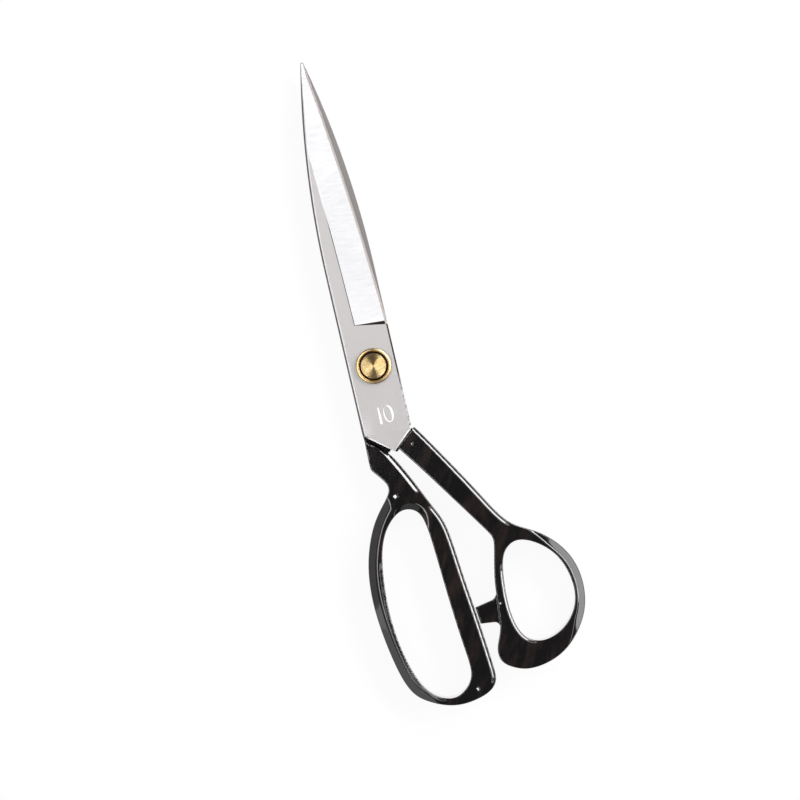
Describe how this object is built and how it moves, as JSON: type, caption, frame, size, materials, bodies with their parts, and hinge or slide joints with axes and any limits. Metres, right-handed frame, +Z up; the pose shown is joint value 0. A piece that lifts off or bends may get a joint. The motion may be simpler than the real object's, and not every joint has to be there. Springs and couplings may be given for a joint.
{
  "type": "fabric shears",
  "caption": "Right-handed tailor's shears with V-tailed steel blades, black enamelled handles with a long finger loop and a small thumb loop, and a dished brass pivot screw.",
  "frame": {"origin": "on the pivot axis, in the plane that the nut and both loops lie on", "axes": "+Y from the pivot to the blade tips, +X from the pivot axis towards the thumb loop's side, +Z up from the surface the shears lie on, along the pivot axis"},
  "size_m": [0.0805, 0.2537, 0.013],
  "materials": {
    "blade_steel": "satin ground steel with a brighter bevel",
    "handle_enamel": "gloss black enamel on cast iron",
    "pivot_brass": "turned and polished",
    "washer_steel": "spring steel"
  },
  "bodies": {
    "finger_half": {"finger_blade": "blade_steel", "finger_handle": "handle_enamel", "pivot_screw": "pivot_brass", "cup_washer": "pivot_brass", "back_washer": "pivot_brass", "spring_washer": "washer_steel", "pivot_nut": "pivot_brass"},
    "thumb_half": {"thumb_blade": "blade_steel", "thumb_handle": "handle_enamel"}
  },
  "joints": [
    {"name": "pivot", "type": "hinge", "parent": "finger_half", "child": "thumb_half", "pos_m": [0, 0, 0.0065], "axis": [0, 0, 1], "range_deg": [0, 60]}
  ]
}
